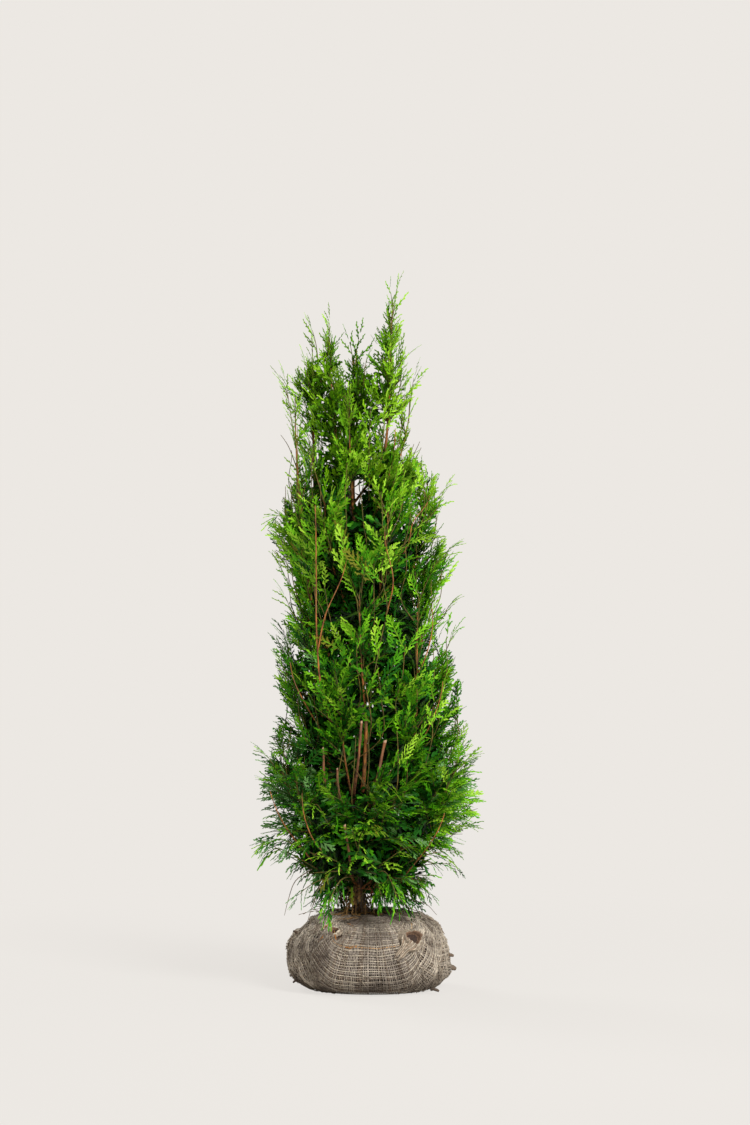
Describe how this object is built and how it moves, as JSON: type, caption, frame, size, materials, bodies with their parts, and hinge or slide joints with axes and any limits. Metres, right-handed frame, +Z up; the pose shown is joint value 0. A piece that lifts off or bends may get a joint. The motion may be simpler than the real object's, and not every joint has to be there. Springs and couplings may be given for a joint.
{
  "type": "balled-and-burlapped western red cedar",
  "caption": "Young western red cedar: a dense column of flat, ferny evergreen sprays with several upright leaders, on a root ball wrapped in open hessian.",
  "frame": {"origin": "middle of the root ball's flat underside", "axes": "+Z up the trunk, -Y towards the side the picture shows, +X to that view's right"},
  "size_m": [0.4287, 0.3955, 1.2664],
  "materials": {
    "hessian": "matte",
    "soil": "matte",
    "bark": "matte",
    "young_bark": "matte",
    "foliage": "matte"
  },
  "bodies": {
    "root": {"hessian_wrap": "hessian", "root_ball": "soil", "trunk": "bark", "bough_ring_1": "young_bark", "bough_ring_2": "young_bark", "bough_ring_3": "young_bark", "bough_ring_4": "young_bark", "bough_ring_5": "young_bark", "bough_ring_6": "young_bark", "bough_leader_right": "young_bark", "bough_leader_centre": "young_bark", "bough_leader_left": "young_bark", "bough_leader_far_left": "young_bark", "foliage_skirt_1": "foliage", "foliage_skirt_2": "foliage", "foliage_skirt_3": "foliage", "foliage_skirt_4": "foliage", "foliage_skirt_5": "foliage", "foliage_skirt_6": "foliage", "foliage_low_1": "foliage", "foliage_low_2": "foliage", "foliage_low_3": "foliage", "foliage_low_4": "foliage", "foliage_low_5": "foliage", "foliage_low_6": "foliage", "foliage_waist_1": "foliage", "foliage_waist_2": "foliage", "foliage_waist_3": "foliage", "foliage_waist_4": "foliage", "foliage_waist_5": "foliage", "foliage_waist_6": "foliage", "foliage_middle_1": "foliage", "foliage_middle_2": "foliage", "foliage_middle_3": "foliage", "foliage_middle_4": "foliage", "foliage_middle_5": "foliage", "foliage_middle_6": "foliage", "foliage_upper_1": "foliage", "foliage_upper_2": "foliage", "foliage_upper_3": "foliage", "foliage_upper_4": "foliage", "foliage_upper_5": "foliage", "foliage_upper_6": "foliage", "foliage_leader_right": "foliage", "foliage_leader_centre": "foliage", "foliage_leader_left_centre": "foliage", "foliage_leader_left": "foliage", "foliage_leader_far_left": "foliage", "foliage_leader_far_right": "foliage", "foliage_leader_back": "foliage", "foliage_leader_front": "foliage", "foliage_leader_back_right": "foliage", "foliage_leader_front_right": "foliage"}
  },
  "joints": []
}
